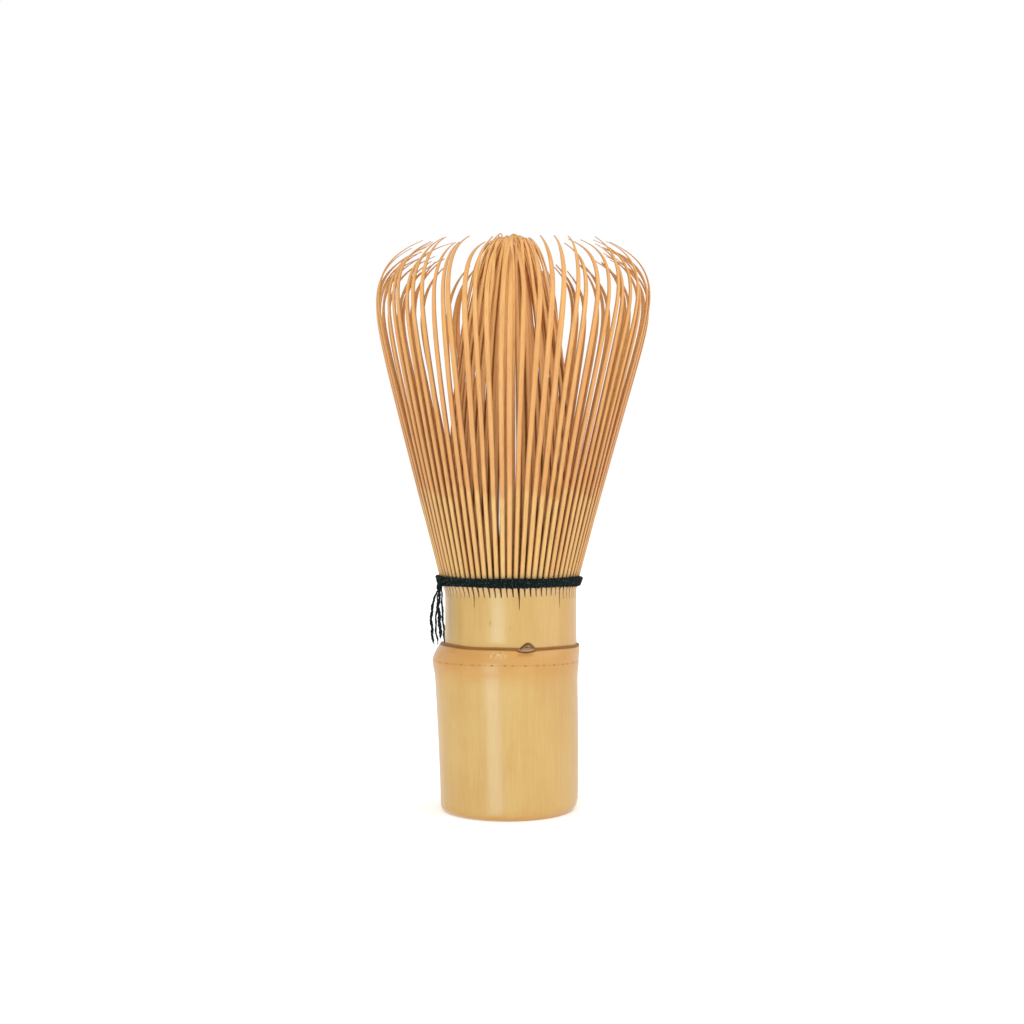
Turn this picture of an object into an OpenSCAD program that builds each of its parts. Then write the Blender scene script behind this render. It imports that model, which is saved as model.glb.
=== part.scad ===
// Bamboo tea whisk: a culm stub whose upper half is split into an outer cage and an inner bundle
// of fine tines, held apart by a dark thread. Millimetres, +Z up, origin at the centre of the base.

/* [Handle] */
// Outer radius of the culm just above its rounded base edge
base_r = 13.4; // [13:0.1:14]
// Radius of the rounded edge round the base
base_edge_r = 1.2; // [0.8:0.1:1.6]
// Outer radius of the culm just under the node ridge, before the ridge swells out
shoulder_r = 13.9; // [13.5:0.1:14.2]
// How far the node ridge swells out beyond the shoulder
ridge_bulge = 0.4; // [0.2:0.05:0.6]
// Height of the widest point of the node ridge
ridge_z = 28.9; // [28:0.1:30]
// Outer radius of the slim collar above the node
collar_r = 12.83; // [12.6:0.01:12.9]
// Radius of the culm's open lower bore
bore_r = 10; // [9:0.1:10.5]
// Depth of the lower bore, from the base up to the node's inner wall
bore_depth = 31; // [29:0.5:31]

/* [Tines] */
// Height at which the slits between the tines begin
slit_z = 41.7; // [41:0.1:42.3]
// Width of a slit in the rim of the collar
slit_w = 0.3; // [0.2:0.05:0.35]
// Outer radius of the outer ring of tines at the thread
outer_root_r = 13.49; // [13.4:0.01:13.6]
// Angle by which the outer tines lean outwards
outer_lean = 14.85; // [14:0.05:15.5]
// Angle through which the outer tines' tips hook inwards
outer_hook = 87; // [80:1:92]
// Mean length of an outer tine above the thread
outer_len = 69; // [66:0.5:71]
// Outer radius of the inner ring of tines at the thread
inner_root_r = 12.1; // [11.9:0.05:12.1]
// Mean length of the inner tines that lie outermost in the bundle
inner_len = 66.2; // [64:0.2:66.4]

/* [Thread] */
// Height of the middle of the thread band
thread_z = 44.6; // [44.4:0.1:44.8]
// Height of the thread band
band_h = 1.9; // [1.5:0.1:2.1]
// Thickness of the thread band
band_t = 0.64; // [0.5:0.02:0.7]
// Diameter of a hanging thread end
end_d = 0.45; // [0.3:0.05:0.5]
// Angle round the axis at which the knot sits
knot_angle = 208; // [0:5:355]

/* [Hidden] */
// Tines are flexed, and so kept, in small groups of neighbours
OUTER_COUNT = 72;
OUTER_GROUPS = 24;
INNER_COUNT = 72;
INNER_GROUPS = 12;
function numbered(stem, i) = str(stem, "_", i < 10 ? "0" : "", i);
OUTER_NAMES = [for (i = [1:OUTER_GROUPS]) numbered("outer_tines", i)];
INNER_NAMES = [for (i = [1:INNER_GROUPS]) numbered("inner_tines", i)];
END_NAMES = [for (i = [1:4]) str("thread_end_", i)];
FIXED_NAMES = ["handle", "node_septum", "thread_outer_turns", "thread_inner_turn", "thread_knot"];

BAMBOO = [0.87, 0.73, 0.50];
PITH = [0.84, 0.74, 0.58];
TINE = [0.84, 0.60, 0.38];
THREAD = [0.07, 0.10, 0.09];

// ---- Handle -------------------------------------------------------------------------------

// Top of the collar's slit rim, where the free tines begin
rim_z = thread_z - 0.2;
// Radius of the cavity above the node, and the thickness of the node's inner wall
cavity_r = bore_r + 0.3;
septum_t = 1.8;
// How quickly the ridge dies away below and above its widest point
ridge_spread = 2.2;
// Height of the sharp line that ends the node ridge
node_line_z = 32.1;

function culm_r(z) = base_r + (shoulder_r - base_r) * min(1, z / 24)
    + ridge_bulge * exp(-pow((z - ridge_z) / ridge_spread, 2));

module handle() {
    base_edge = [for (a = [0:22.5:90])
        [base_r - base_edge_r * (1 - sin(a)), base_edge_r * (1 - cos(a))]];
    culm = [for (z = [3:2:31]) [culm_r(z), z]];
    collar = [
        [collar_r + 0.55, node_line_z - 0.1],
        [collar_r + 0.25, node_line_z + 0.3],
        [collar_r + 0.05, node_line_z + 1.3],
        [collar_r, node_line_z + 3],
        [collar_r + 0.04, slit_z + 0.4],
        [outer_root_r - 0.05, rim_z],
    ];
    inside = [
        [inner_root_r - 0.6, rim_z],
        [cavity_r, slit_z - 1.5],
        [cavity_r, bore_depth],
        [bore_r, bore_depth],
        [bore_r, 0],
    ];
    color(BAMBOO)
        difference() {
            rotate_extrude($fn = 96) polygon(concat(base_edge, culm, collar, inside));
            translate([0, 0, slit_z]) linear_extrude(rim_z) slit_star();
        }
}

// One narrow spoke for each slit, joined inside the cavity into a single outline
module slit_star() {
    hub_r = inner_root_r - 2.4;
    spoke_r = outer_root_r + 1;
    pitch = 360 / OUTER_COUNT;
    polygon([for (i = [0:OUTER_COUNT - 1], p = [[hub_r, -1], [spoke_r, -1], [spoke_r, 1], [hub_r, 1]])
        turned([p[0], p[1] * slit_w / 2], (i + 0.5) * pitch)]);
}

function turned(p, a) = [p[0] * cos(a) - p[1] * sin(a), p[0] * sin(a) + p[1] * cos(a)];

module node_septum() {
    underside = [for (r = [9:-1.5:0]) [r, bore_depth + 0.9 * (1 - pow(r / 9, 2))]];
    color(PITH)
        rotate_extrude($fn = 96)
            polygon(concat([[0, bore_depth + septum_t], [cavity_r - 0.02, bore_depth + septum_t],
                [cavity_r - 0.02, bore_depth]], underside));
}

// ---- Tines --------------------------------------------------------------------------------

// Distance between the points at which a tine's run is summed
STEP = 0.5;

// A repeatable uneven value from -1 to 1 for tine or group n
function uneven(n, salt) = 2 * ((n * (0.618034 + 0.1373 * salt) + 0.37 * salt) % 1) - 1;

// Lean of a tine at distance s along it: straight, then bowed and hooked towards the axis
function lean_at(s, length, lean, bow, hook, hook_s, spread) =
    lean - bow * pow(s / length, 1.8) - hook / (1 + exp((hook_s - s) / spread));

// Points [r, z, lean] along a tine's outer surface, from the thread upwards
function run(length, r0, lean, bow, hook, hook_s, spread) =
    [for (s = 0, r = r0, z = thread_z, a = lean; s <= length + STEP / 2;
        a = lean_at(s + STEP / 2, length, lean, bow, hook, hook_s, spread),
        r = r + STEP * sin(a), z = z + STEP * cos(a), s = s + STEP)
        [r, z, lean_at(s, length, lean, bow, hook, hook_s, spread)]];

// Shift towards +X at height z: a lean that all the tines share, and a bow in the outer cage
function set_lean(z) = (z - thread_z) * tan(0.4);
function set_bow(z) = 0.45 * pow((z - thread_z) / 55, 3);

// Corners of a tine of width w and thickness t at one point of its run, at an angle round the axis
// and shifted towards +X
function tine_ring(p, w, t, angle, shift) =
    [for (c = [[0, -0.5, 1], [0, 0.5, 1], [-t, 0.5, 0.8], [-t, -0.5, 0.8]])
        let (xy = turned([p[0] + c[0] * cos(p[2]), c[1] * c[2] * w], angle))
        [xy[0] + shift, xy[1], p[1] - c[0] * sin(p[2])]];

// Solid through a list of four-cornered rings
module skin(rings) {
    n = len(rings);
    sides = [for (i = [0:n - 2], k = [0:3]) let (a = 4 * i + k, b = 4 * i + (k + 1) % 4)
        each [[a, b, b + 4], [a, b + 4, a + 4]]];
    ends = [[2, 1, 0], [3, 2, 0], [4 * n - 4, 4 * n - 3, 4 * n - 2], [4 * n - 4, 4 * n - 2, 4 * n - 1]];
    polyhedron([for (r = rings) each r], [for (f = concat(sides, ends)) [f[2], f[1], f[0]]]);
}

// Shares of a tine's length at which it has a ring: few on the straight stretch, more round the hook
OUTER_STATIONS = [0, 0.08, 0.45, 0.72, 0.78, 0.83, 0.87, 0.91, 0.955, 1];
INNER_STATIONS = [0, 0.18, 0.4, 0.6, 0.78, 0.9, 0.96, 1];

function outer_width(u) = 0.88 + 0.16 * min(1, u / 0.4) - 0.78 * pow(max(0, u - 0.7) / 0.3, 1.4);
function outer_thickness(u) = 0.8 - 0.6 * pow(u, 1.4);
function inner_width(u) = 0.74 - 0.5 * pow(u, 4);
function inner_thickness(u) = 0.48 - 0.24 * u;

// How strongly the three tines of each outer group draw together towards their tips
GATHER = [0.3, 0.05, 0.4, 0.2, 0.34, 0.1, 0.35, 0, 0.4, 0.25, 0.5, 0.1,
    0.3, 0.4, 0.2, 0.1, 0.35, 0.1, 0.2, 0.05, 0.05, 0.1, 0.3, 0.36];
// How far each outer group has strayed round the axis at its widest, in degrees
SWAY = [0, 0.8, -0.5, 0, -1.2, -0.6, 0.3, 0, -1, 5, 0, 0.7,
    0.4, -0.5, 2.5, 1.5, 0.6, 0.3, 0, 0, 0.3, 0.5, -0.8, 0.2];
// How far the middle tine of a group may stray between its neighbours, in degrees
MIDDLE_SWAY = 1.3;

// Place of an outer tine round the axis at share u of its length
function outer_angle(group, k, u) =
    let (pitch = 360 / OUTER_COUNT, grown = pow(min(1, u / 0.78), 1.6))
    (3 * group + k) * pitch
        + grown * (SWAY[group] - k * GATHER[group] * pitch + (k == 0 ? MIDDLE_SWAY * uneven(group, 7) : 0));

// Tine k (-1, 0 or 1) of an outer group
module outer_tine(group, k) {
    n = 3 * group + k + OUTER_COUNT;
    length = outer_len + 1.6 * uneven(n, 1);
    lean = outer_lean + 0.35 * uneven(n, 2);
    path = run(length, outer_root_r, lean, 0, outer_hook + 4 * uneven(n, 4), 60.6 + 0.9 * uneven(n, 5), 3.4);
    last = len(path) - 1;
    skin([for (u = OUTER_STATIONS)
        let (p = path[round(u * last)])
        tine_ring(p, outer_width(u), outer_thickness(u), outer_angle(group, k, u),
            set_lean(p[1]) + set_bow(p[1]))]);
}

module outer_tines(group) {
    color(TINE)
        for (k = [-1:1]) outer_tine(group, k);
}

// Inner tine n. The tines lie in three layers that part towards the tips: 0 outermost, 2 innermost
module inner_tine(n) {
    angle = (n + 0.5) * 360 / INNER_COUNT;
    layer = n % 3;
    length = inner_len + 1.4 * layer - (n % 2 == 0 ? 0.6 * layer : 0) + 0.25 * uneven(n, 1);
    path = run(length, inner_root_r, 0.5, 18.45 + 3.5 * layer, 49 - 10 * layer, 65.7 + 0.9 * layer, 1.75);
    last = len(path) - 1;
    skin([for (u = INNER_STATIONS)
        let (p = path[round(u * last)])
        tine_ring(p, inner_width(u), inner_thickness(u), angle, set_lean(p[1]))]);
}

module inner_tines(group) {
    share = INNER_COUNT / INNER_GROUPS;
    color(TINE)
        for (k = [0:share - 1]) inner_tine(INNER_COUNT + group * share + k - share / 2);
}

// ---- Thread -------------------------------------------------------------------------------

// Ring of flat-sided section: each point is [radius, height], and the ring has one side per tine
module thread_ring(section) {
    n = OUTER_COUNT;
    m = len(section);
    points = [for (i = [0:n - 1], p = section)
        concat(turned([p[0], 0], (i + 0.5) * 360 / n), [p[1]])];
    faces = [for (i = [0:n - 1], k = [0:m - 1])
        [i * m + k, ((i + 1) % n) * m + k, ((i + 1) % n) * m + (k + 1) % m, i * m + (k + 1) % m]];
    polyhedron(points, faces);
}

module thread_outer_turns() {
    gap = 0.14;
    slope = tan(outer_lean);
    inner_r = outer_root_r + gap;
    color(THREAD)
        thread_ring([for (p = [[0, -0.5], [0.5, -1], [1, -0.45], [1, 0.45], [0.5, 1], [0, 0.5]])
            [inner_r + p[0] * band_t + p[1] * band_h / 2 * slope, thread_z + p[1] * band_h / 2]]);
}

module thread_inner_turn() {
    low = rim_z;
    high = rim_z + 0.9;
    inner_r = inner_root_r + 0.14;
    outer_r = inner_r + 0.36;
    color(THREAD)
        thread_ring([[inner_r, low], [outer_r, low], [outer_r, high], [inner_r, high]]);
}

module at_knot() {
    rotate([0, 0, knot_angle]) translate([knot_r, 0, 0]) children();
}

// Distance of the knot's middle from the axis, and its half thickness
knot_r = outer_root_r + band_t + 0.95;
knot_half = 0.62;
// Height at which the hanging ends leave the knot
ends_top_z = thread_z - 2.1;

module thread_knot() {
    color(THREAD)
        at_knot()
            hull() {
                for (p = [[-0.55, 0.75], [0.5, 0.6], [0.45, -0.5], [-0.4, -0.7]])
                    translate([0, p[0], thread_z - 0.35 + p[1]]) scale([0.8, 1, 1]) sphere(knot_half, $fn = 20);
            }
}

// Each hanging end: sideways place at its top and tip, how far its tip stands out, bow, and length
ENDS = [
    [-0.75, -1.0, 0.75, 0.5, 10.2],
    [-0.25, -0.35, 0.1, 0.35, 9.8],
    [0.3, 0.75, -0.2, -0.5, 9.9],
    [0.8, 1.5, -0.55, 0.2, 9.4],
];
END_RINGS = 8;
END_SIDES = 6;

module thread_end(i) {
    e = ENDS[i];
    points = [for (j = [0:END_RINGS - 1], k = [0:END_SIDES - 1])
        let (u = j / (END_RINGS - 1), a = k * 360 / END_SIDES,
            side = e[0] + (e[1] - e[0]) * u + e[3] * sin(180 * u) * 0.5,
            out = e[2] * u * u)
        [out + end_d / 2 * cos(a), side + end_d / 2 * sin(a), ends_top_z - e[4] * u]];
    sides = [for (j = [0:END_RINGS - 2], k = [0:END_SIDES - 1])
        let (a = j * END_SIDES + k, b = j * END_SIDES + (k + 1) % END_SIDES)
        each [[a, b, b + END_SIDES], [a, b + END_SIDES, a + END_SIDES]]];
    top = [for (k = [END_SIDES - 1:-1:0]) k];
    tip = [for (k = [0:END_SIDES - 1]) (END_RINGS - 1) * END_SIDES + k];
    color(THREAD)
        at_knot() polyhedron(points, concat(sides, [top, tip]));
}

// ---- Assembly -----------------------------------------------------------------------------

handle();
node_septum();
thread_outer_turns();
thread_inner_turn();
thread_knot();
for (i = [0:3])
    thread_end(i);
for (i = [0:OUTER_GROUPS - 1])
    outer_tines(i);
for (i = [0:INNER_GROUPS - 1])
    inner_tines(i);
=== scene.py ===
import math
import random

import bmesh
import bpy
import numpy as np
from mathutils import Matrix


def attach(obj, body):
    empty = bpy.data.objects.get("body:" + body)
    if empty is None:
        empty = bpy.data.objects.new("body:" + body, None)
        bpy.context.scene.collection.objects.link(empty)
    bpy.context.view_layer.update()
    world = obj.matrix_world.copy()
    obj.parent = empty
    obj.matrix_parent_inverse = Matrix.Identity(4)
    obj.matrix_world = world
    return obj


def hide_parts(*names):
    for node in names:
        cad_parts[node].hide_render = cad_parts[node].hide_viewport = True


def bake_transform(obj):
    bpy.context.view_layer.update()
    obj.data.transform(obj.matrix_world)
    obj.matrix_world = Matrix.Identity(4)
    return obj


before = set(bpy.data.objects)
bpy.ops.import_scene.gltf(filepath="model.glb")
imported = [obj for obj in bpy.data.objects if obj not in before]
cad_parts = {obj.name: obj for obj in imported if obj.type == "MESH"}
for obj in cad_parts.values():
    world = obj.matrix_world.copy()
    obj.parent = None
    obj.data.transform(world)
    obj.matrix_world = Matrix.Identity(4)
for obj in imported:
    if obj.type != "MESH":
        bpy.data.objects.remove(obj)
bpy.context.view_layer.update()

# Shapes are worked out in millimetres, in the frame of the CAD, and turned into metres in add_piece().
MM = 0.001

# The same driving dimensions as the CAD part
BASE_R, BASE_EDGE_R, SHOULDER_R, SHOULDER_Z = 13.4, 1.2, 13.9, 24
RIDGE_BULGE, RIDGE_Z, RIDGE_SPREAD = 0.4, 28.9, 2.2
COLLAR_R, BORE_R, BORE_DEPTH = 12.83, 10.0, 31.0
NODE_LINE_Z, SLIT_Z, THREAD_Z = 32.1, 41.7, 44.6
RIM_Z = THREAD_Z - 0.2
CAVITY_R = BORE_R + 0.3
OUTER_ROOT_R, OUTER_LEAN, OUTER_HOOK, OUTER_LEN = 13.49, 14.85, 87.0, 69.0
INNER_ROOT_R, INNER_LEN = 12.1, 66.2
OUTER_COUNT, OUTER_GROUPS, INNER_COUNT, INNER_GROUPS = 72, 24, 72, 12
STEP = 0.5
BAND_GAP, BAND_T = 0.14, 0.64
KNOT_ANGLE = math.radians(208)
KNOT_R = OUTER_ROOT_R + BAND_T + 0.95
ENDS_TOP_Z = THREAD_Z - 2.1
# Direction in which the viewer stands
FRONT = math.radians(270)

# For each outer group, as in the CAD part: how far its tines draw together towards their tips, in shares
# of their pitch, and how far it has strayed round the axis at its widest, in degrees
GATHER = [0.3, 0.05, 0.4, 0.2, 0.34, 0.1, 0.35, 0, 0.4, 0.25, 0.5, 0.1,
          0.3, 0.4, 0.2, 0.1, 0.35, 0.1, 0.2, 0.05, 0.05, 0.1, 0.3, 0.36]
SWAY = [0, 0.8, -0.5, 0, -1.2, -0.6, 0.3, 0, -1, 5, 0, 0.7,
        0.4, -0.5, 2.5, 1.5, 0.6, 0.3, 0, 0, 0.3, 0.5, -0.8, 0.2]
# How far the middle tine of a group may stray between its neighbours, in degrees
MIDDLE_SWAY = 1.3
# How far round from the front the outer tips draw together over the inner bundle
FRONT_SPREAD = math.radians(10)


# ---- Mesh helpers ----------------------------------------------------------------------------

def add_piece(name, points, faces, material, slot, **attributes):
    """A smooth mesh object from points in millimetres, with a float attribute for each keyword."""
    mesh = bpy.data.meshes.new(name)
    mesh.from_pydata((np.asarray(points, float) * MM).tolist(), [], faces)
    for key, values in attributes.items():
        layer = mesh.attributes.new(key, "FLOAT", "POINT")
        layer.data.foreach_set("value", np.asarray(values, np.float32))
    shape = bmesh.new()
    shape.from_mesh(mesh)
    bmesh.ops.recalc_face_normals(shape, faces=shape.faces)
    shape.to_mesh(mesh)
    shape.free()
    mesh.polygons.foreach_set("use_smooth", [True] * len(mesh.polygons))
    mesh.materials.append(material)
    piece = bpy.data.objects.new(name, mesh)
    bpy.context.scene.collection.objects.link(piece)
    return piece


def grid_faces(rows, cols, start=0, wrap=True):
    """Quads of a grid of points, rows by cols, whose rows close on themselves if wrap is set."""
    last = cols if wrap else cols - 1
    i, j = np.meshgrid(np.arange(rows - 1), np.arange(last), indexing="ij")
    a = start + i * cols + j
    b = start + i * cols + (j + 1) % cols
    return np.stack([a, b, b + cols, a + cols], -1).reshape(-1, 4).tolist()


class Builder:
    """Gathers rings and grids of points into one mesh."""

    def __init__(self, *keys):
        self.points, self.faces, self.count = [], [], 0
        self.values = {key: [] for key in keys}

    def skin(self, rings, caps=True, **values):
        """A tube through rings of points, an array of rings by points by 3."""
        rows, cols = rings.shape[:2]
        self.faces += grid_faces(rows, cols, self.count)
        if caps:
            self.faces.append(list(range(self.count, self.count + cols)))
            last = self.count + (rows - 1) * cols
            self.faces.append(list(range(last + cols - 1, last - 1, -1)))
        self.points.append(rings.reshape(-1, 3))
        for key, store in self.values.items():
            store.append(np.broadcast_to(values[key], (rows, cols)).reshape(-1))
        self.count += rows * cols

    def build(self, name, material, slot):
        attributes = {key: np.concatenate(store) for key, store in self.values.items()}
        return add_piece(name, np.vstack(self.points), self.faces, material, slot, **attributes)


def turn(radial, side, angle):
    """x and y of a point at a distance out and to the side, at an angle round the axis."""
    return radial * np.cos(angle) - side * np.sin(angle), radial * np.sin(angle) + side * np.cos(angle)


def smooth(x, low, high):
    """Smooth step from 0 at low to 1 at high."""
    t = np.clip((x - low) / (high - low), 0, 1)
    return t * t * (3 - 2 * t)


def uneven(n, salt):
    """A repeatable uneven value from -1 to 1, as in the CAD part."""
    return 2 * ((n * (0.618034 + 0.1373 * salt) + 0.37 * salt) % 1) - 1


def ring_angles(count):
    """Even angles round a full turn."""
    return np.arange(count) * 2 * math.pi / count


# ---- Material helpers ------------------------------------------------------------------------

def srgb(r, g, b):
    """Linear colour from 0-255 screen values."""
    def linear(c):
        return c / 255 / 12.92 if c <= 10 else ((c / 255 + 0.055) / 1.055) ** 2.4

    return (linear(r), linear(g), linear(b), 1.0)


class Shader:
    """A material's node tree, with short calls for the nodes used here."""

    def __init__(self, name):
        self.material = bpy.data.materials.new(name)
        self.material.use_nodes = True
        self.tree = self.material.node_tree
        self.shader = self.tree.nodes["Principled BSDF"]

    def node(self, kind, inputs=(), **settings):
        made = self.tree.nodes.new(kind)
        for key, value in settings.items():
            setattr(made, key, value)
        for key, value in dict(inputs).items():
            self.feed(made.inputs[key], value)
        return made

    def feed(self, socket, value):
        if isinstance(value, bpy.types.NodeSocket):
            self.tree.links.new(value, socket)
        else:
            socket.default_value = value

    def attribute(self, name):
        return self.node("ShaderNodeAttribute", attribute_name=name).outputs["Fac"]

    def position(self):
        return self.node("ShaderNodeTexCoord").outputs["Object"]

    def stretched(self, vector, scale):
        return self.node("ShaderNodeVectorMath", {0: vector, 1: scale}, operation="MULTIPLY").outputs[0]

    def noise(self, vector, scale, detail=3.0, roughness=0.55):
        return self.node("ShaderNodeTexNoise", {"Vector": vector, "Scale": scale, "Detail": detail,
                                                "Roughness": roughness}).outputs["Fac"]

    def maths(self, operation, a, b):
        return self.node("ShaderNodeMath", {0: a, 1: b}, operation=operation).outputs[0]

    def spread(self, value, low, high, to_low=0.0, to_high=1.0):
        """A value between low and high, carried smoothly on to the range from to_low to to_high."""
        return self.node("ShaderNodeMapRange", {"Value": value, "From Min": low, "From Max": high,
                                                "To Min": to_low, "To Max": to_high},
                         interpolation_type="SMOOTHSTEP").outputs["Result"]

    def mix(self, share, a, b):
        """Colour a going over to colour b; inputs 6 and 7 and output 2 are the node's colour sockets."""
        made = self.node("ShaderNodeMix", data_type="RGBA")
        self.feed(made.inputs["Factor"], share)
        self.feed(made.inputs[6], a)
        self.feed(made.inputs[7], b)
        return made.outputs[2]

    def bump(self, height, distance, strength):
        return self.node("ShaderNodeBump", {"Height": height, "Distance": distance,
                                            "Strength": strength}).outputs["Normal"]

    def finish(self, **inputs):
        """Feeds the shader's own inputs, with _ for each space in their names."""
        for key, value in inputs.items():
            self.feed(self.shader.inputs[key.replace("_", " ")], value)
        return self.material


def bamboo_skin():
    """The polished skin of the culm: honey yellow, with fine fibres along it, a soft gloss and matt marks,
    and painted shade in the slits of the collar.
    """
    s = Shader("bamboo_skin")
    place = s.position()
    fibres = s.noise(s.stretched(place, (1, 1, 0.035)), 5200, 4.0, 0.6)
    bands = s.noise(s.stretched(place, (1, 1, 0.05)), 620, 3.0)
    clouds = s.noise(s.stretched(place, (1, 1, 0.5)), 120, 3.0)
    flecks = s.noise(s.stretched(place, (1, 1, 0.4)), 2300, 2.0)
    colour = s.mix(s.spread(clouds, 0.35, 0.7), srgb(184, 143, 77), srgb(189, 152, 88))
    colour = s.mix(s.spread(bands, 0.4, 0.7, 0.0, 0.3), colour, srgb(178, 132, 70))
    colour = s.mix(s.spread(fibres, 0.4, 0.75, 0.0, 0.22), colour, srgb(206, 172, 120))
    colour = s.mix(s.spread(flecks, 0.66, 0.8, 0.0, 0.3), colour, srgb(150, 102, 56))
    colour = s.mix(s.maths("MULTIPLY", s.attribute("ripe"), 0.85), colour, srgb(182, 122, 50))
    colour = s.mix(s.maths("MULTIPLY", s.attribute("pale"), 0.8), colour, srgb(206, 168, 122))
    colour = s.mix(s.maths("MULTIPLY", s.attribute("scar"), 0.9), colour, srgb(146, 120, 94))
    stain = s.attribute("stain")
    broken = s.spread(s.noise(s.stretched(place, (1, 1, 0.8)), 1500, 2.0), 0.44, 0.6, 0.0, 0.75)
    colour = s.mix(s.maths("MULTIPLY", s.attribute("chalk"), broken), colour, srgb(200, 168, 124))
    # The stain mask turns brown, and near black where strongest; it carries the real stains and also the
    # painted shade in the collar's slits.
    colour = s.mix(stain, colour, s.mix(s.spread(stain, 0.86, 0.94), srgb(106, 56, 28), srgb(38, 24, 16)))
    rough = s.spread(fibres, 0.3, 0.8, 0.34, 0.46)
    normal = s.bump(fibres, 0.00003, 0.3)
    return s.finish(Base_Color=colour, Roughness=rough, Normal=normal,
                    Coat_Weight=s.spread(stain, 0.0, 0.6, 0.45, 0.0), Coat_Roughness=0.2,
                    Specular_IOR_Level=s.spread(stain, 0.0, 0.6, 0.3, 0.05))


def bamboo_pith():
    """The matt inner wall of the culm, pale and papery."""
    s = Shader("bamboo_pith")
    place = s.position()
    fibres = s.noise(s.stretched(place, (1, 1, 0.06)), 3200, 4.0, 0.65)
    clouds = s.noise(place, 320, 3.0)
    colour = s.mix(s.spread(clouds, 0.35, 0.7), srgb(206, 176, 128), srgb(224, 202, 162))
    colour = s.mix(s.spread(fibres, 0.5, 0.72, 0.0, 0.6), colour, srgb(176, 132, 82))
    normal = s.bump(fibres, 0.00012, 0.6)
    return s.finish(Base_Color=colour, Roughness=0.85, Normal=normal)


def bamboo_end_grain():
    """The sawn end of the culm: dark fibre bundles in pale pith, closer together towards the skin."""
    s = Shader("bamboo_end_grain")
    place = s.position()
    cells = s.node("ShaderNodeTexVoronoi", {"Vector": place, "Scale": 1500.0, "Randomness": 0.85})
    outer = s.attribute("outer")
    size = s.maths("ADD", s.maths("MULTIPLY", outer, 0.2), 0.26)
    dots = s.spread(s.maths("SUBTRACT", cells.outputs["Distance"], size), -0.12, 0.06, 1.0, 0.0)
    clouds = s.noise(place, 900, 3.0)
    ground = s.mix(s.spread(clouds, 0.35, 0.7), srgb(222, 196, 150), srgb(204, 170, 116))
    ground = s.mix(s.maths("MULTIPLY", outer, 0.5), ground, srgb(190, 142, 82))
    colour = s.mix(s.maths("MULTIPLY", dots, 0.75), ground, srgb(138, 92, 48))
    saw = s.noise(s.stretched(place, (0.15, 1, 1)), 2400, 2.0)
    normal = s.bump(s.maths("ADD", saw, dots), 0.00008, 0.6)
    return s.finish(Base_Color=colour, Roughness=0.75, Normal=normal)


# Mean height of the line between a strip's skin and its shaved length, and how far the line strays
SHAVED_Z, SHAVED_STRAY = 61.4, 1.3


def tine_strip(name, skin, shaved, tip, edge, roughness):
    """A strip: paler skin low down, warmer shaved bamboo above, with darker sides and back that are partly
    the cut bamboo's own colour and partly painted shade.
    """
    s = Shader(name)
    across, rise, tone = s.attribute("across"), s.attribute("rise"), s.attribute("tone")
    place = s.node("ShaderNodeCombineXYZ", {"X": across, "Y": s.maths("MULTIPLY", rise, 0.05),
                                            "Z": tone}).outputs[0]
    fibres = s.noise(place, 7.0, 3.0, 0.6)
    patches = s.noise(place, 1.6, 2.0)
    line = s.maths("ADD", s.maths("MULTIPLY", tone, SHAVED_STRAY), SHAVED_Z)
    above = s.spread(s.maths("SUBTRACT", rise, line), -0.6, 0.8)
    colour = s.mix(above, skin, s.mix(s.spread(rise, 72.0, 108.0), shaved, tip))
    colour = s.mix(s.spread(patches, 0.35, 0.7, 0.0, 0.35), colour, srgb(226, 178, 112))
    colour = s.mix(s.spread(fibres, 0.45, 0.75, 0.0, 0.42), colour, edge)
    colour = s.mix(s.spread(tone, -1.0, 1.0, 0.0, 0.4), colour, srgb(204, 138, 78))
    colour = s.mix(s.spread(rise, 44.0, 47.5, 0.45, 0.0), colour, srgb(236, 206, 154))
    # Painted shade: the sides, the back and the last of the tip darken towards the side colour, which is
    # partly the cut bamboo's own colour.
    side = s.mix(s.spread(rise, 58.0, 96.0), edge, s.mix(0.55, edge, tip))
    colour = s.mix(s.maths("MULTIPLY", s.attribute("flank"), 0.85), colour, side)
    normal = s.bump(fibres, 0.00003, 0.5)
    return s.finish(Base_Color=colour, Roughness=roughness, Normal=normal, Specular_IOR_Level=0.4)


def thread_fibre():
    """Matt, dark green-black cotton, with paler flecks."""
    s = Shader("thread_fibre")
    place = s.position()
    fibres = s.noise(s.stretched(place, (1, 1, 1.6)), 7000, 4.0, 0.7)
    flecks = s.noise(place, 3800, 2.0, 0.6)
    colour = s.mix(s.spread(fibres, 0.4, 0.75), srgb(2, 8, 7), srgb(14, 32, 29))
    colour = s.mix(s.spread(flecks, 0.56, 0.68, 0.0, 0.45), colour, srgb(80, 106, 102))
    normal = s.bump(fibres, 0.00008, 0.9)
    return s.finish(Base_Color=colour, Roughness=0.95, Normal=normal, Sheen_Weight=0.05, Sheen_Roughness=0.5,
                    Specular_IOR_Level=0.1)


# ---- Handle ----------------------------------------------------------------------------------

def culm_lean(z):
    """How far the culm's section has strayed from the axis along X: most at the node ridge."""
    return np.where(z < RIDGE_Z, -0.05 - 0.75 * (np.clip(z, 0, None) / RIDGE_Z) ** 1.6,
                    -0.8 + 1.0 * smooth(z, RIDGE_Z, 33.5)) * smooth(RIM_Z - z, 0, 3)


def line_height(angle):
    """Height of the node line, which rises a little on the left."""
    return NODE_LINE_Z + 0.3 * (1 + np.cos(angle - math.pi)) / 2 + 0.05 * np.sin(7 * angle + 1)


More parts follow.
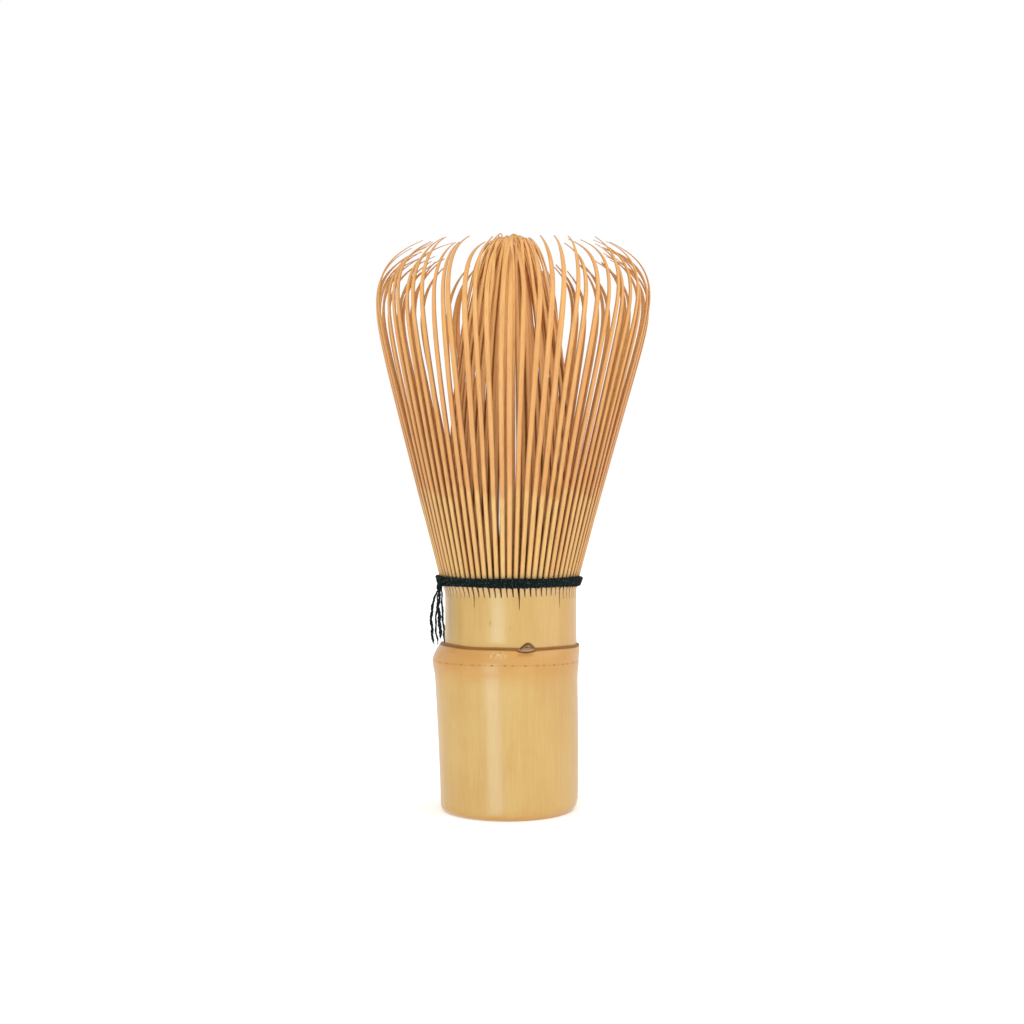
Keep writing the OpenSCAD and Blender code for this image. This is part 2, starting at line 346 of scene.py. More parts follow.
def culm_radius(angle, z):
    """Radius of the culm's skin at an angle and height."""
    culm = BASE_R + (SHOULDER_R - BASE_R) * np.minimum(1, z / SHOULDER_Z) \
        + RIDGE_BULGE * np.exp(-((z - RIDGE_Z) / RIDGE_SPREAD) ** 2)
    over = z - line_height(angle)
    collar = COLLAR_R + 0.5 * np.exp(-np.clip(over, 0, None) / 0.45) \
        + 0.62 * (np.clip(z - 41.9, 0, None) / 2.5) ** 1.6
    radius = np.where(over < 0, culm - 0.25 * smooth(over, -1.6, 0), collar)
    return radius + 0.05 * np.sin(3 * angle + 0.7) + 0.03 * np.sin(5 * angle + 2.1)


# Where the bud scar sits on the node line, and half its width
SCAR_ANGLE = FRONT + math.radians(13.9)
SCAR_HALF = 1.85


def bud_scar(angle, z):
    """The bud scar on the node line: returns its swelling, its grey patch and its dark lines."""
    a = (angle - SCAR_ANGLE) * BASE_R
    b = a - 0.2
    reach = np.clip(np.abs(a) / SCAR_HALF, 0, 1)
    low, middle = 31.72 + 0.35 * reach ** 2, 32.4 - 0.25 * reach ** 2
    top = 32.45 + 0.85 * np.cos(np.clip(np.abs(b) / 1.45, 0, 1) * math.pi / 2) ** 1.2
    lens = smooth(z, low, low + 0.12) * smooth(middle - z, -0.08, 0.08) \
        * smooth(SCAR_HALF - np.abs(a), 0, 0.2)
    hood = smooth(z, middle - 0.08, middle + 0.08) * smooth(top - z, 0, 0.2) \
        * smooth(1.5 - np.abs(b), 0, 0.2)
    arch = np.exp(-((z - top + 0.08) / 0.25) ** 2) * smooth(1.6 - np.abs(b), 0, 0.25)
    foot = np.exp(-((z - low + 0.03) / 0.17) ** 2) * smooth(2.0 - np.abs(a), 0, 0.3)
    eye = np.exp(-((z - 32.6) / 0.15) ** 2 - ((b + 0.25) / 0.32) ** 4)
    spot = np.exp(-((z - 32.9) / 0.12) ** 2 - ((b - 0.15) / 0.25) ** 2)
    whiskers = np.exp(-((z - 31.25) / 0.3) ** 2) * smooth(1.8 - np.abs(a), 0, 0.6) \
        * (0.35 + 0.65 * np.sin(a * 7) ** 2)
    patch = np.clip(lens + hood, 0, 1)
    swelling = 0.18 * patch - 0.14 * arch - 0.1 * foot - 0.08 * eye
    dark = np.maximum(np.maximum(arch, foot), np.maximum(eye, 0.6 * hood * (1 - spot)))
    return swelling, patch, np.clip(dark + 0.4 * whiskers, 0, 1)


def skin_marks(angle, z):
    """The marks on the skin: returns their depth, then how stained, scarred, ripe and chalky it is."""
    line = line_height(angle)
    swelling, patch, dark = bud_scar(angle, z)
    clear = 1 - patch
    upper = np.exp(-((z - line - 0.22) / 0.12) ** 2)
    lower = np.exp(-((z - line + 0.12) / 0.15) ** 2)
    between = smooth(z, line - 0.25, line - 0.1) * smooth(line + 0.36 - z, 0, 0.12)
    fade = 0.75 + 0.25 * np.sin(4 * angle + 0.5)
    stain = np.maximum(0.8 * upper * fade, np.maximum(0.86 * lower, 0.65 * between)) * clear
    dots_z = 29.2 + 0.12 * np.sin(3 * angle) - 0.1 * np.cos(angle)
    dots = np.clip(np.sin(71 * angle) + 0.7 * np.sin(43 * angle + 1) - 0.4, 0, 1)
    ring = np.exp(-((z - dots_z) / 0.13) ** 2) * (0.25 + 0.75 * dots)
    across = (angle - FRONT) * COLLAR_R
    flaw = np.exp(-((across + 3.6) / 0.45) ** 2 - ((z - 37.2) / 0.16) ** 2) * 0.4 \
        + np.exp(-((across + 3.85) / 0.12) ** 2 - ((z - 37.1) / 0.5) ** 2) * 0.4
    stain = np.clip(np.maximum(stain, dark) + ring * 0.65 + flaw, 0, 1)
    depth = swelling - 0.09 * upper * clear - 0.14 * lower * clear - 0.03 * ring
    chalk = np.exp(-((across + 1.9) / 1.9) ** 4 - ((z - 31.2) / 0.5) ** 2)
    ripe = smooth(z, 24, 29.6) * smooth(line - z, -0.1, 0.1) * (0.8 - 0.2 * np.cos(angle)) \
        * (0.88 + 0.12 * np.sin(9 * angle + 1) * np.sin(1.7 * z))
    ripe = ripe + 0.5 * smooth(1.6 - z, 0, 1.2)
    return depth, stain, patch, np.clip(ripe, 0, 1), chalk


# The slits that run on down as cracks, with the height at which each crack ends
CRACKS = {47: 39.7, 55: 39.4, 63: 39.6, 12: 39.9, 30: 39.6, 70: 40.2, 5: 40.0}


def slit_bottom(i):
    """Height at which slit i ends: nearly all just under the thread, and the cracks lower down."""
    return CRACKS.get(i, SLIT_Z - 0.1 + 0.5 * uneven(i + 1, 3))


def slit_columns(z):
    """Angles, depths and darkness of the collar's columns at heights z, which crowd round each slit; the
    darkness is shade painted into the slits.
    """
    pitch = 2 * math.pi / OUTER_COUNT
    angles, depths, darks = [], [], []
    for i in range(OUTER_COUNT):
        middle, end, crack = (i + 0.5) * pitch, slit_bottom(i), i in CRACKS
        grown = np.clip((z - end) / (RIM_Z - end), 0, 1)
        usual = np.clip((z - (SLIT_Z - 0.5)) / (RIM_Z - SLIT_Z + 0.5), 0, 1)
        strong = 0.62 + 0.38 * uneven(i + 1, 6)
        half = 0.015 + (0.12 + 0.11 * strong) * usual ** 0.9 + (0.03 * smooth(grown, 0, 0.3) if crack else 0)
        strength = np.maximum(strong * usual ** 0.5, 0.9 if crack else 0)
        open_share = smooth(grown, 0, 0.12) * (0.35 + 0.65 * strength)
        # The slit itself: columns at shares of its half width, with their depth and their painted shade
        for place, depth, dark in ((0, 1.5, 1.0), (0.6, 1.3, 1.0), (1.0, 0.22, 0.55)):
            for side in ((1, -1) if place else (1,)):
                angles.append(middle + side * place * half / COLLAR_R)
                depths.append(-depth * open_share)
                darks.append(dark * open_share)
        # Its worn lips: columns at distances beyond its half width, with their depth
        for extra, depth in ((0.06, 0.07), (0.15, 0.015), (0.25, 0.0)):
            for side in (1, -1):
                angles.append(middle + side * (half + extra) / COLLAR_R)
                depths.append(-depth * open_share)
                darks.append(0 * z)
        # The middle of the skin between this slit and the next
        angles.append((i + 1) * pitch + 0 * z)
        depths.append(0 * z)
        darks.append(0 * z)
    order = np.argsort([a[-1] for a in angles])
    return tuple(np.array(columns)[order].T for columns in (angles, depths, darks))


# Columns round the skin below the slits, and round the inner wall and the cut end
SKIN_COLUMNS, WALL_COLUMNS = 720, 180
# Height from which the skin's columns crowd round the slits
CROWDED_Z = 38.8
# Radius of the bore's worn mouth
MOUTH_R = BORE_R + 0.25


def add_culm_skin(material):
    """The skin, with all its marks: even columns up to CROWDED_Z, and the slit collar above."""
    parts = Builder("stain", "scar", "ripe", "pale", "chalk")
    edge = np.radians(np.linspace(0, 90, 9))
    edge_r, edge_z = BASE_R - BASE_EDGE_R * (1 - np.sin(edge)), BASE_EDGE_R * (1 - np.cos(edge))
    z = np.concatenate([edge_z, np.arange(2.4, 27, 1.2), np.arange(27.2, 34.6, 0.12),
                        np.arange(35, CROWDED_Z, 0.5), [CROWDED_Z]])
    z, angle = np.meshgrid(z, ring_angles(SKIN_COLUMNS), indexing="ij")
    depth, stain, scar, ripe, chalk = skin_marks(angle, z)
    radius = culm_radius(angle, z) + depth
    radius[:len(edge)] += (edge_r - BASE_R)[:, None]
    worn = 0.5 * smooth(3.2 - z, 0, 3.2) ** 2 * (0.4 + 0.6 * np.cos(angle - 0.3)) * smooth(z, -0.01, 0.4)
    x, y = turn(radius - worn, 0, angle)
    parts.skin(np.stack([x + culm_lean(z), y, z], -1), caps=False, stain=stain, scar=scar, ripe=ripe,
               pale=0, chalk=chalk)

    z = np.concatenate([np.linspace(CROWDED_Z, 41, 13), np.linspace(41.12, RIM_Z, 26)])
    angle, depth, dark = slit_columns(z)
    z = z[:, None] + 0 * angle
    more, stain, scar, ripe, _ = skin_marks(angle, z)
    x, y = turn(culm_radius(angle, z) + depth + more, 0, angle)
    pale = smooth(z, 41.5, 43.6) * (1 - dark) * 0.9
    # Painted shade: the slits' darkness is put into the stain mask with the real stains.
    parts.skin(np.stack([x + culm_lean(z), y, z], -1), caps=False, stain=np.maximum(stain, dark), scar=scar,
               ripe=ripe, pale=pale, chalk=0)
    return parts.build("handle_skin", material, "bamboo_culm")


def add_inner_wall(material):
    """The inner wall, from the slit rim down the cavity and the bore to the bore's mouth."""
    parts = Builder()
    profile = np.array([(13.0, RIM_Z), (11.5, RIM_Z), (10.9, 42.3), (CAVITY_R, 40.2), (CAVITY_R, 35),
                        (CAVITY_R, BORE_DEPTH), (BORE_R, BORE_DEPTH), (BORE_R, 26), (BORE_R, 20),
                        (BORE_R, 12), (BORE_R, 5), (BORE_R, 0.3), (MOUTH_R, 0)])
    angle = ring_angles(WALL_COLUMNS)
    ragged = 0.06 * np.sin(9 * angle) + 0.05 * np.sin(23 * angle + 1)
    radius = profile[:, :1] + ragged * smooth(RIM_Z - profile[:, 1:], 0, 2) * smooth(profile[:, 1:], 0, 1)
    x, y = turn(radius, 0, angle)
    parts.skin(np.stack([x, y, profile[:, 1:] + 0 * x], -1), caps=False)
    return parts.build("handle_inner_wall", material, "bamboo_pith")


def add_cut_end(material):
    """The sawn face between the bore's mouth and the rounded base edge, not quite flat."""
    parts = Builder("outer")
    angle = ring_angles(WALL_COLUMNS)
    share = np.linspace(0, 1, 9)[:, None]
    radius = MOUTH_R * (1 - share) + (BASE_R - BASE_EDGE_R + 0.07 * np.sin(3 * angle + 0.7)) * share
    x, y = turn(radius, 0, angle)
    z = 0.02 * np.sin(6 * angle) * (share * (1 - share)) + 0.01
    parts.skin(np.stack([x - 0.05 * share, y, z], -1), caps=False, outer=share ** 1.5)
    return parts.build("handle_cut_end", material, "bamboo_culm")


def add_handle(skin, pith, end_grain):
    """The culm stub: its skin takes the CAD handle's place, with the inner wall and the cut end."""
    handle = add_culm_skin(skin)
    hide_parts("handle")
    for piece in (handle, add_inner_wall(pith), add_cut_end(end_grain)):
        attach(piece, "whisk_body")


# ---- Tines -----------------------------------------------------------------------------------

def lean_at(s, length, lean, bow, hook, hook_s, spread):
    """Lean in degrees at distance s along a tine: straight, then bowed and hooked towards the axis."""
    return lean - bow * (max(s, 0) / length) ** 1.8 - hook / (1 + math.exp((hook_s - s) / spread))


def run(length, r0, *shape):
    """Rows of distance, radius, height and lean in degrees along a tine, as in the CAD part."""
    rows, s, r, z = [], 0.0, r0, THREAD_Z
    while s <= length + STEP / 2:
        rows.append((s, r, z, lean_at(s, length, *shape)))
        a = math.radians(lean_at(s + STEP / 2, length, *shape))
        s, r, z = s + STEP, r + STEP * math.sin(a), z + STEP * math.cos(a)
    below, lean = 0.8, rows[0][3]
    first = math.radians(lean)
    rows.insert(0, (-below, r0 - below * math.sin(first), THREAD_Z - below * math.cos(first), lean))
    return np.array(rows)


def set_lean(z):
    """Shift towards +X that all the tines share, as in the CAD part."""
    return (z - THREAD_Z) * math.tan(math.radians(0.4))


def outer_shift(z):
    """Shift of the outer cage towards +X: the shared lean and a bow of its own, as in the CAD part."""
    return set_lean(z) + 0.45 * ((z - THREAD_Z) / 55) ** 3


# Widths and thicknesses at share u of a tine's length
def outer_width(u):
    return (0.88 + 0.16 * np.minimum(1, u / 0.4) - 0.6 * (np.clip(u - 0.7, 0, None) / 0.3) ** 1.4) \
        * (1 - 0.4 * smooth(u, 0.88, 1.0))


def outer_thickness(u):
    return (0.8 - 0.6 * u ** 1.4) * (1 - 0.45 * smooth(u, 0.85, 1.0))


def inner_width(u):
    return 0.84 - 0.26 * u ** 4


def inner_thickness(u):
    return 0.48 - 0.24 * u


def outer_angle(group, k, u):
    """Place of tine k (-1, 0 or 1) of an outer group round the axis, at share u of its length."""
    grown = np.minimum(1, u / 0.78) ** 1.6
    middle = MIDDLE_SWAY * uneven(group, 7) if k == 0 else 0
    pitch = 360 / OUTER_COUNT
    return np.radians((3 * group + k) * pitch + grown * (SWAY[group] - k * GATHER[group] * pitch + middle))


# Section of a strip, in widths across and thicknesses in, with how much painted shade each point takes as a
# side or the back
SECTION = np.array([(-0.5, -0.3, 0.9), (-0.44, -0.08, 0.5), (-0.24, 0.0, 0.05), (0.24, 0.0, 0.05),
                    (0.44, -0.08, 0.5), (0.5, -0.3, 0.9), (0.43, -0.92, 0.3), (0.25, -1.0, 0.0),
                    (-0.25, -1.0, 0.0), (-0.43, -0.92, 0.3)])


def add_tine(parts, path, u, width, thickness, angle, side, n, shift):
    """Adds strip n, which follows a path of distance, radius, height and lean, shifted towards +X."""
    length = path[-1, 0]
    s = u * length
    s[0] = path[0, 0]
    r, z, lean = (np.interp(s, path[:, 0], path[:, i]) for i in (1, 2, 3))
    lean = np.radians(lean)[:, None]
    inward = SECTION[:, 1] * thickness[:, None]
    across = SECTION[:, 0] * width[:, None]
    x, y = turn(r[:, None] + inward * np.cos(lean), across + side[:, None], angle[:, None])
    height = z[:, None] - inward * np.sin(lean)
    x = x + shift(z)[:, None]
    # The last of the tip also takes the darker side colour.
    tip_end = 0.7 * smooth(u, 0.965, 1.0)[:, None]
    parts.skin(np.stack([x, y, height], -1), across=across + 3.7 * n, rise=z[:, None],
               tone=uneven(n, 9), flank=np.maximum(SECTION[:, 2], tip_end))


def add_outer_group(group, material):
    """Three neighbouring outer tines, which bend together above the thread."""
    parts = Builder("across", "rise", "tone", "flank")
    u = np.concatenate([np.linspace(0, 0.66, 16), np.linspace(0.68, 1, 42)])
    for k in (-1, 0, 1):
        n = 3 * group + k + OUTER_COUNT
        off = (3 * group + k) * 2 * math.pi / OUTER_COUNT - FRONT
        front = math.exp(-(off / FRONT_SPREAD) ** 2)
        beside = math.exp(-((abs(math.remainder(off, 2 * math.pi)) - 0.5) / 0.3) ** 2)
        length = OUTER_LEN + 0.4 + 1.6 * uneven(n, 1) - 0.8 * front - 1.1 * beside
        path = run(length, OUTER_ROOT_R, OUTER_LEAN + 0.35 * uneven(n, 2), 0,
                   OUTER_HOOK + 4 * uneven(n, 4) + 12 * front, 60.6 + 0.9 * uneven(n, 5), 3.4)
        curl = smooth(u, 0.84, 1.0)
        side = 0.9 * uneven(n, 11) * (1 - front) * curl ** 2 + 0.08 * np.sin(9 * u + n) * smooth(u, 0.1, 0.4)
        side = side - 0.75 * front * (0.83 + 22 * math.sin(off)) * smooth(u, 0.78, 1.0)
        beyond = math.sin(off) ** 2 * smooth(u, 0.3, 0.7)
        width = outer_width(u) * (1 + 0.1 * uneven(n, 12)) * (1 - 0.12 * beyond)
        add_tine(parts, path, u, width, outer_thickness(u), outer_angle(group, k, u), side, n, outer_shift)
    name = f"{group + 1:02d}"
    piece = parts.build(f"outer_tines_shaved_{name}", material, "outer_tine")
    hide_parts(f"outer_tines_{name}")
    bend(piece)


# The inner tine whose tip has curled over into a small loop
LOOPED_TINE = INNER_COUNT + 37


def looped(path, u):
    """Carries a path on into a loop over its own end, and crowds the stations round that loop."""
    radius, sweep, steps = 0.45, 340, 24
    rows = [tuple(row) for row in path]
    pace = radius * math.radians(sweep) / steps
    for _ in range(steps):
        s, r, z, lean = rows[-1]
        lean -= sweep / steps
        a = math.radians(lean)
        rows.append((s + pace, r + pace * math.sin(a), z + pace * math.cos(a), lean))
    whole = np.array(rows)
    first = path[-1, 0] / whole[-1, 0]
    return whole, np.concatenate([u[:-1] * first, np.linspace(first, 1, steps + 1)])


def add_inner_group(group, material):
    """Six neighbouring inner tines, which bend together above the thread."""
    parts = Builder("across", "rise", "tone", "flank")
    per_group = INNER_COUNT // INNER_GROUPS
    stations = np.concatenate([np.linspace(0, 0.7, 18), np.linspace(0.72, 1, 24)])
    for k in range(per_group):
        n = INNER_COUNT + group * per_group + k - per_group // 2
        layer = n % 3
        length = INNER_LEN + 1.6 + 0.7 * layer - (0.6 * layer if n % 2 == 0 else 0) + 0.3 * uneven(n, 1)
        left = max(0.0, -math.cos((n + 0.5) * 2 * math.pi / INNER_COUNT))
        path = run(length, INNER_ROOT_R, 0.5, 17.8 + 3.7 * layer - 1.6 * left, 49 - 10 * layer + 6 * left,
                   67.2 + 0.4 * layer - left, 1.75)
        u = stations
        if n == LOOPED_TINE:
            path, u = looped(run(length + 0.9, INNER_ROOT_R, 0.5, 20.5, 39, 67.6, 1.75), stations)
        angle = (n + 0.5) * 2 * math.pi / INNER_COUNT + 0 * u
        side = 0.16 * uneven(n, 13) * np.sin(4 * u) * (1 - smooth(u, 0.7, 0.9)) \
            + 0.6 * uneven(n, 14) * smooth(u, 0.85, 1.0)
        width, thickness = inner_width(u), inner_thickness(u)
        if n == LOOPED_TINE:
            width, thickness = width * (1 - 0.45 * smooth(u, 0.93, 0.98)), thickness * 0.8
        add_tine(parts, path, u, width, thickness, angle, side, n + 100, set_lean)
    name = f"{group + 1:02d}"
    piece = parts.build(f"inner_tines_shaved_{name}", material, "inner_tine")
    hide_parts(f"inner_tines_{name}")
    bend(piece)


def bend(piece):
    """Bakes the piece's placement into its points."""
    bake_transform(piece)


# ---- Thread ----------------------------------------------------------------------------------

# Points round the outer and the inner turns of the thread
OUTER_TURN_POINTS, INNER_TURN_POINTS = 1080, 900


def frames(line, closed):
    """Two unit normals at each point of a line, square to it and to each other."""
    if closed:
        tangent = np.roll(line, -1, 0) - np.roll(line, 1, 0)
    else:
        tangent = np.gradient(line, axis=0)
    tangent /= np.linalg.norm(tangent, axis=1)[:, None]
    up = np.array([0.0, 0.0, 1.0]) if closed else np.array([0.31, 0.92, 0.24])
    first = np.cross(tangent, up)
    first /= np.linalg.norm(first, axis=1)[:, None]
    return first, np.cross(tangent, first)


def tube(parts, line, radius, sides=7, closed=False):
    """A round tube along a line; radius is one number or one for each point."""
    first, second = frames(line, closed)
    a = ring_angles(sides)
    radius = np.broadcast_to(radius, len(line))[:, None, None]
    spokes = np.cos(a)[:, None] * first[:, None] + np.sin(a)[:, None] * second[:, None]
    rings = line[:, None] + radius * spokes
    if closed:
        rings = np.concatenate([rings, rings[:1]])
    parts.skin(rings, caps=not closed)


def twisted(parts, line, radius, pitch, plies=2, closed=False, phase=0.0):
    """A cord of plies that twist round each other along a line. Radius is that of the whole cord."""
    first, second = frames(line, closed)
    steps = np.linalg.norm(np.diff(line, axis=0, append=line[:1] if closed else line[-1:]), axis=1)
    distance = np.concatenate([[0], np.cumsum(steps)[:-1]])
    total = steps.sum()
    turns = round(total / pitch) if closed else total / pitch
    radius = np.broadcast_to(radius, len(line))
    ply_r = radius * (0.54 if plies == 2 else 0.5)
    for ply in range(plies):
        a = 2 * math.pi * (turns * distance / total + ply / plies) + phase
        offset = np.cos(a)[:, None] * first + np.sin(a)[:, None] * second
        tube(parts, line + (radius - ply_r)[:, None] * offset, ply_r, closed=closed)


def add_fuzz(parts, line, radius, count, length, seed):
    """Short stray fibres that stand off a cord."""
    rng = random.Random(seed)
    for _ in range(count):
        i = rng.randrange(2, len(line) - 2)
        along = line[i + 1] - line[i - 1]
        along /= np.linalg.norm(along)
        out = np.cross(along, [rng.uniform(-1, 1), rng.uniform(-1, 1), rng.uniform(-1, 1)])
        out /= np.linalg.norm(out)
        reach = length * rng.uniform(0.4, 1.0)
        t = np.linspace(0, 1, 6)[:, None]
        curve = line[i] + out * radius * 0.8 + reach * (t * (0.8 * along * rng.choice((-1, 1)) + 0.6 * out)
                                                        - 0.35 * t * t * out)
        tube(parts, curve, 0.018 * (1.2 - t[:, 0]), sides=4)


def add_thread_turns(material):
    """The outer turns: four laps of two-ply cord that lie on each other and wander a little."""
    parts = Builder()
    angle = ring_angles(OUTER_TURN_POINTS)
    slope = math.tan(math.radians(OUTER_LEAN))
    # The laps sink in and crowd together on the right
    right = np.exp(-((np.abs((angle + math.pi) % (2 * math.pi) - math.pi)) / 0.3) ** 2)
    for lap, up in enumerate((-0.62, -0.21, 0.2, 0.6)):
        wander = 0.07 * np.sin(2 * angle + 0.5 * lap) + 0.06 * np.sin(5 * angle + lap)
        z = THREAD_Z + up + wander - 0.12 * lap * right
        radius = OUTER_ROOT_R + BAND_GAP + 0.34 + (up + wander) * slope \
            + 0.02 * np.sin(11 * angle + lap) - 0.12 * right
        x, y = turn(radius, 0, angle)
        line = np.stack([x, y, z], -1)
        lumps = 1 + 0.07 * np.sin(31 * angle + 2 * lap) + 0.06 * np.sin(47 * angle + lap)
        twisted(parts, line, 0.35 * lumps, 1.5, closed=True, phase=lap * 1.1)
        add_fuzz(parts, line, 0.33, 90, 0.8, lap)
    band = parts.build("thread_outer_cord", material, "thread")
    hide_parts("thread_outer_turns")
    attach(band, "whisk_body")


def add_inner_turn(material):
    """The inner turn: two laps of two-ply cord, which lie between the outer and the inner tines."""
    parts = Builder()
    angle = ring_angles(INNER_TURN_POINTS)
    for lap, up in enumerate((0.24, 0.66)):
        x, y = turn(INNER_ROOT_R + 0.33 + 0 * angle, 0, angle)
        line = np.stack([x, y, RIM_Z + up + 0.02 * np.sin(6 * angle + lap)], -1)
        twisted(parts, line, 0.2, 0.9, closed=True, phase=lap)
    turn_piece = parts.build("thread_inner_cord", material, "thread")
    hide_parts("thread_inner_turn")
    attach(turn_piece, "whisk_body")


def at_knot(out, side, z):
    """Points at the knot: out from its middle, to the side round the whisk, and a height."""
    x, y = turn(KNOT_R + np.asarray(out, float), np.asarray(side, float), KNOT_ANGLE)
    return np.stack([x, y, np.asarray(z, float) + 0 * x], -1)


def add_knot(material):
    """An overhand knot in the doubled thread, pulled tight against the band."""
    parts = Builder()
    t = np.linspace(0, 2 * math.pi, 120, endpoint=False)
    for shift, size in ((0.0, 1.0), (0.32, 0.9)):
        out = 0.17 * np.sin(3 * t) + 0.05
        side = 0.3 * size * (np.sin(t) + 1.7 * np.sin(2 * t))
        z = THREAD_Z - 0.45 + shift * 0.8 + 0.4 * size * (np.cos(t) - 1.7 * np.cos(2 * t))
        twisted(parts, at_knot(out, side, z), 0.3, 1.3, closed=True, phase=shift * 5)
    t = np.linspace(0, 1, 24)
    for side in (-1, 1):
        lead = at_knot(-0.75 + 0.6 * t, side * (2.4 - 1.9 * t), THREAD_Z + 0.25 * side * (1 - t) + 0.1)
        twisted(parts, lead, 0.3, 1.4, phase=side)
    fuzzy = at_knot(0.2 * np.sin(9 * t), 0.9 * np.sin(7 * t), THREAD_Z - 1.4 + 2.6 * t)
    add_fuzz(parts, fuzzy, 0.3, 26, 0.9, 11)
    knot = parts.build("thread_knot_tied", material, "thread")
    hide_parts("thread_knot")
    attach(knot, "whisk_body")


# Each hanging end: its places in x and y at even steps from the knot down, its lowest height, its radius
ENDS = [([(-13.5, -6.9), (-14.3, -7.1), (-14.8, -7.2), (-14.9, -7.3), (-14.75, -7.4), (-14.5, -7.4)],
         33.1, 0.3),
        ([(-13.25, -7.25), (-13.7, -7.55), (-13.75, -7.7), (-14.05, -7.8), (-13.95, -7.8), (-13.7, -7.7)],
         33.2, 0.2),
        ([(-13.2, -7.9), (-13.35, -8.0), (-13.55, -8.1), (-13.3, -8.2), (-13.2, -8.2), (-13.05, -8.2)],
         34.1, 0.36),
        ([(-12.9, -8.1), (-12.8, -8.2), (-12.75, -8.3), (-12.6, -8.4), (-12.45, -8.5), (-12.3, -8.6)],
         33.4, 0.22)]


def add_thread_end(i, material):
    """One hanging end: a slack three-ply thread, thinner at the knot, that frays at its tip."""
    places, low, radius = ENDS[i]
    rng = random.Random(40 + i)
    parts = Builder()
    u = np.linspace(0, 1, 90)
    knots = np.linspace(0, 1, len(places))
    share = np.clip((u[:, None] - knots) * (len(places) - 1), -1, 1)
    weight = (1 + np.cos(math.pi * share)) / 2
    x, y = (weight @ np.array(places) / weight.sum(1)[:, None]).T
    crimp = 0.07 * np.sin(19 * u + 2 * i) * smooth(u, 0, 0.2)
    top, fall = ENDS_TOP_Z + 1.0, low - ENDS_TOP_Z - 1.0
    line = np.stack([x + crimp, y + 0.05 * np.sin(13 * u + i), top + fall * u], -1)
    lumps = 1 + 0.12 * np.sin(41 * u + i)
    taper = 0.72 + 0.28 * smooth(u, 0.15, 0.4) - 0.3 * smooth(u, 0.88, 1.0)
    twisted(parts, line, radius * lumps * taper, 2.1, plies=3, phase=i)
    add_fuzz(parts, line, radius * 0.8, 26, 0.6, 20 + i)
    tip, along = line[-1], line[-1] - line[-4]
    along /= np.linalg.norm(along)
    t = np.linspace(0, 1, 7)[:, None]
    for _ in range(7):
        stray = np.array([rng.uniform(-1, 1), rng.uniform(-1, 1), rng.uniform(-0.3, 0.3)])
        fibre = tip - along * 0.3 + (along * rng.uniform(0.5, 1.1) + stray * 0.22 * t) * t
        tube(parts, fibre, 0.045 * (1.15 - t[:, 0]), sides=5)
    piece = parts.build(f"thread_strand_{i + 1}", material, "thread")
    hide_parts(f"thread_end_{i + 1}")
    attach(piece, "thread_ends")


# ---- Stage, light and camera -----------------------------------------------------------------

def add_floor():
    """A plain white floor that glows a little, so that it stays white round the base."""
    s = Shader("paper_floor")
    tooth = s.noise(s.position(), 900, 2.0)
    floor_material = s.finish(Base_Color=s.mix(tooth, (0.99, 0.99, 0.99, 1), (1, 1, 1, 1)), Roughness=1.0,
                              Specular_IOR_Level=0.0, Emission_Color=(1, 1, 1, 1), Emission_Strength=0.18)
    mesh = bpy.data.meshes.new("floor")
    points = [(x, y, 0) for y in (-3, 0, 3, 30) for x in (-15, 0, 15)]
    mesh.from_pydata(points, [], grid_faces(4, 3, wrap=False))
    mesh.materials.append(floor_material)
    floor = bpy.data.objects.new("floor", mesh)
    bpy.context.scene.collection.objects.link(floor)
    floor.visible_shadow = False
    floor.visible_glossy = False


def add_surround():
    """A white surround and three soft boxes."""
    world = bpy.data.worlds.new("surround")
    world.use_nodes = True
    world.node_tree.nodes["Background"].inputs["Color"].default_value = (1, 1, 1, 1)
    world.node_tree.nodes["Background"].inputs["Strength"].default_value = 1.0
    bpy.context.scene.world = world
    add_softbox("strip_left", (-0.25, -0.60, -0.05), (0.25, 0.4), 1.55, (0.66, 0.95, 1.0))
    add_softbox("key_above", (-0.3, -0.55, 0.75), (0.5, 0.4), 0.65)
    add_softbox("fill_right", (0.68, -0.30, 0.3), (0.8, 0.7), 1.85)


# Height in metres at which the soft boxes are aimed
AIM_HEIGHT = 0.05


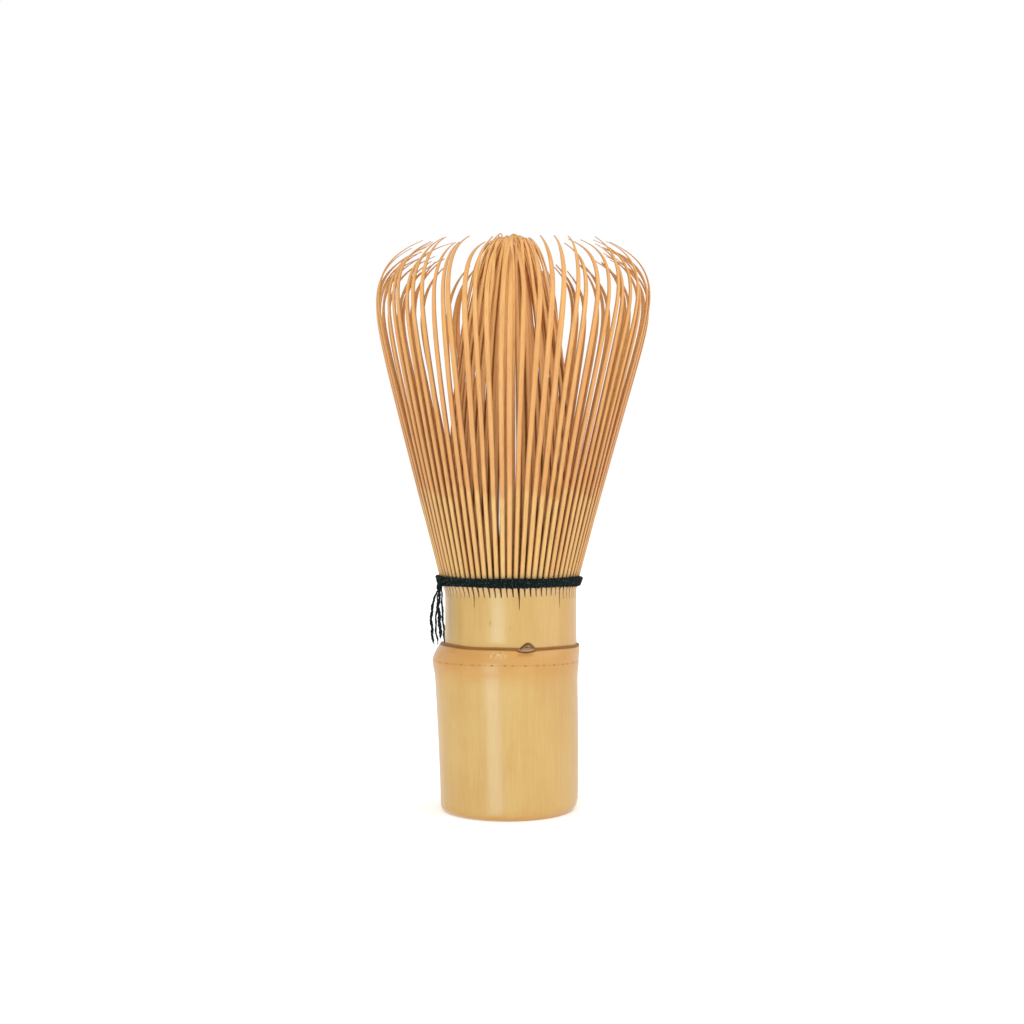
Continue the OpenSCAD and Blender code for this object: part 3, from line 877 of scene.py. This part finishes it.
def add_softbox(name, location, size, power, tint=(1, 1, 1)):
    """An area light of a width and height in metres, turned towards the whisk."""
    lamp = bpy.data.lights.new(name, "AREA")
    lamp.shape = "RECTANGLE"
    lamp.size, lamp.size_y = size
    lamp.energy = power
    lamp.color = tint
    light = bpy.data.objects.new(name, lamp)
    bpy.context.scene.collection.objects.link(light)
    light.location = location
    aim = np.array([0, 0, AIM_HEIGHT]) - np.array(location)
    tilt, swing = math.atan2(math.hypot(aim[0], aim[1]), -aim[2]), math.atan2(aim[1], aim[0]) - math.pi / 2
    light.rotation_euler = (tilt, 0, swing)


# The camera's place in metres, level with the middle of the whisk, and its sensor and lens in millimetres
CAMERA_PLACE = (0.0005, -0.280, 0.0579)
SENSOR_WIDTH, FOCAL_LENGTH = 36, 50.27


def add_camera():
    """A level camera in front of the whisk."""
    camera = bpy.data.objects.new("camera", bpy.data.cameras.new("camera"))
    camera.data.sensor_width = SENSOR_WIDTH
    camera.data.lens = FOCAL_LENGTH
    camera.location = CAMERA_PLACE
    camera.rotation_euler = (math.radians(90), 0, 0)
    bpy.context.scene.collection.objects.link(camera)
    bpy.context.scene.camera = camera


def main():
    add_camera()
    add_floor()
    add_surround()
    bpy.context.scene.view_settings.view_transform = "Standard"
    skin, pith, end_grain, thread = bamboo_skin(), bamboo_pith(), bamboo_end_grain(), thread_fibre()
    outer = tine_strip("outer_tine_strip", srgb(212, 166, 98), srgb(204, 142, 78), srgb(214, 155, 86),
                       srgb(116, 56, 20), 0.5)
    inner = tine_strip("inner_tine_strip", srgb(190, 136, 80), srgb(202, 141, 80), srgb(238, 178, 106),
                       srgb(124, 62, 26), 0.6)
    add_handle(skin, pith, end_grain)
    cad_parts["node_septum"].data.materials.clear()
    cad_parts["node_septum"].data.materials.append(pith)
    for group in range(OUTER_GROUPS):
        add_outer_group(group, outer)
    for group in range(INNER_GROUPS):
        add_inner_group(group, inner)
    add_thread_turns(thread)
    add_inner_turn(thread)
    add_knot(thread)
    for i in range(len(ENDS)):
        add_thread_end(i, thread)


main()
